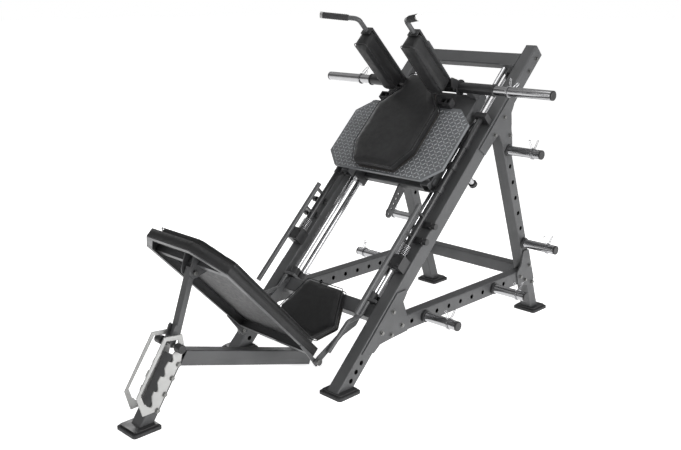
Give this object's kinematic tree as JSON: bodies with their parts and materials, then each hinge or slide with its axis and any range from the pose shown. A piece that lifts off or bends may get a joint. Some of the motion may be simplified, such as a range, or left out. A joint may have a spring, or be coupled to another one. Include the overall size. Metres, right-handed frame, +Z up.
{
  "type": "leg press machine",
  "caption": "Plate-loaded leg press and hack squat machine: sloping rail frame, sliding padded carriage, adjustable backrest and storage horns.",
  "frame": {"origin": "middle of the footprint, on the floor", "axes": "+X to the machine's right side, +Y from the backrest towards the rear feet, +Z up"},
  "size_m": [1.55, 2.625, 1.7359],
  "materials": {
    "powder_coat": "dark graphite powder coat, fine texture",
    "black_paint": "satin black paint",
    "tread_plate": "grey painted tread plate",
    "rack_steel": "light grey coated steel",
    "bright_steel": "zinc plated steel",
    "spring_steel": "plated steel",
    "chrome": "polished chrome",
    "vinyl": "black upholstery vinyl over foam",
    "board": "dark stained plywood",
    "black_plastic": "moulded black plastic",
    "rubber": "matt black rubber",
    "light_plastic": "knurled light grey end cap"
  },
  "bodies": {
    "frame": {"main_rail_right": "powder_coat", "main_rail_left": "powder_coat", "base_rail_right": "powder_coat", "base_rail_left": "powder_coat", "upright_right": "powder_coat", "upright_left": "powder_coat", "rear_cross_member": "powder_coat", "top_cross_member": "powder_coat", "seat_supports": "powder_coat", "hinge_side_plates": "powder_coat", "spine_tube": "powder_coat", "front_post": "powder_coat", "rack_plates": "rack_steel", "gusset_plates": "powder_coat", "foot_plates": "black_paint", "foot_shoes": "rubber", "guide_rods": "chrome", "rod_brackets": "powder_coat", "rod_bumpers": "rubber", "storage_horns": "chrome", "horn_flanges": "black_paint", "horn_caps": "black_plastic", "frame_bolts": "bright_steel", "seat_pad": "vinyl", "seat_board": "board", "seat_handles": "powder_coat", "hinge_pins": "bright_steel", "safety_blocks": "black_paint", "return_springs": "spring_steel", "stop_pegs": "black_paint"},
    "carriage": {"carriage_frame": "powder_coat", "bearing_housings": "black_paint", "linear_bushes": "spring_steel", "push_plate": "tread_plate", "back_pad": "vinyl", "back_board": "board", "shoulder_pads": "vinyl", "shoulder_brackets": "black_paint", "carriage_handles": "powder_coat", "handle_grips": "rubber", "grip_end_caps": "light_plastic", "sleeve_tube": "black_paint", "weight_sleeves": "chrome", "sleeve_caps": "black_plastic", "perforated_arm": "powder_coat"},
    "backrest": {"backrest_tray": "powder_coat", "backrest_pad": "vinyl", "tray_brackets": "powder_coat", "strut_bolt": "bright_steel"},
    "strut": {"strut": "powder_coat", "strut_pin": "bright_steel", "strut_knobs": "black_plastic"},
    "safety_right": {"safety_shaft_right": "black_paint", "safety_lever_right": "powder_coat"},
    "safety_left": {"safety_shaft_left": "black_paint", "safety_lever_left": "powder_coat"},
    "horn_collars_right": {"horn_collars_right": "spring_steel"},
    "horn_collars_left": {"horn_collars_left": "spring_steel"},
    "sleeve_collar_right": {"sleeve_collar_right": "spring_steel"},
    "sleeve_collar_left": {"sleeve_collar_left": "spring_steel"}
  },
  "joints": [
    {"name": "carriage_slide", "type": "slide", "parent": "frame", "child": "carriage", "axis": [0, 0.7071, 0.7071], "range_m": [-0.58, 0.4]},
    {"name": "backrest_tilt", "type": "hinge", "parent": "frame", "child": "backrest", "pos_m": [0, -0.4405, 0.15], "axis": [1, 0, 0], "range_deg": [0, 21.7]},
    {"name": "strut_swing", "type": "hinge", "parent": "backrest", "child": "strut", "pos_m": [0, -0.9385, 0.648], "axis": [1, 0, 0], "range_deg": [-24, 0]},
    {"name": "safety_lever_right", "type": "hinge", "parent": "frame", "child": "safety_right", "pos_m": [0.358, 0.34984, 0.86691], "axis": [0, 0.7071, 0.7071], "range_deg": [0, 35], "stiffness_Nm_per_rad": 6, "springref_deg": -8.59},
    {"name": "safety_lever_left", "type": "hinge", "parent": "frame", "child": "safety_left", "pos_m": [-0.358, 0.34984, 0.86691], "axis": [0, -0.7071, -0.7071], "range_deg": [0, 35], "stiffness_Nm_per_rad": 6, "springref_deg": -8.59},
    {"name": "horn_collar_slide_right", "type": "slide", "parent": "frame", "child": "horn_collars_right", "axis": [1, 0, 0], "range_m": [-0.1, 0.04]},
    {"name": "horn_collar_slide_left", "type": "slide", "parent": "frame", "child": "horn_collars_left", "axis": [-1, 0, 0], "range_m": [-0.1, 0.04]},
    {"name": "sleeve_collar_slide_right", "type": "slide", "parent": "carriage", "child": "sleeve_collar_right", "axis": [1, 0, 0], "range_m": [-0.05, 0.24]},
    {"name": "sleeve_collar_slide_left", "type": "slide", "parent": "carriage", "child": "sleeve_collar_left", "axis": [-1, 0, 0], "range_m": [-0.05, 0.24]}
  ],
  "couplings": [
    {"joint": "strut_swing", "follows": "backrest_tilt", "ratio": -1.0968}
  ]
}
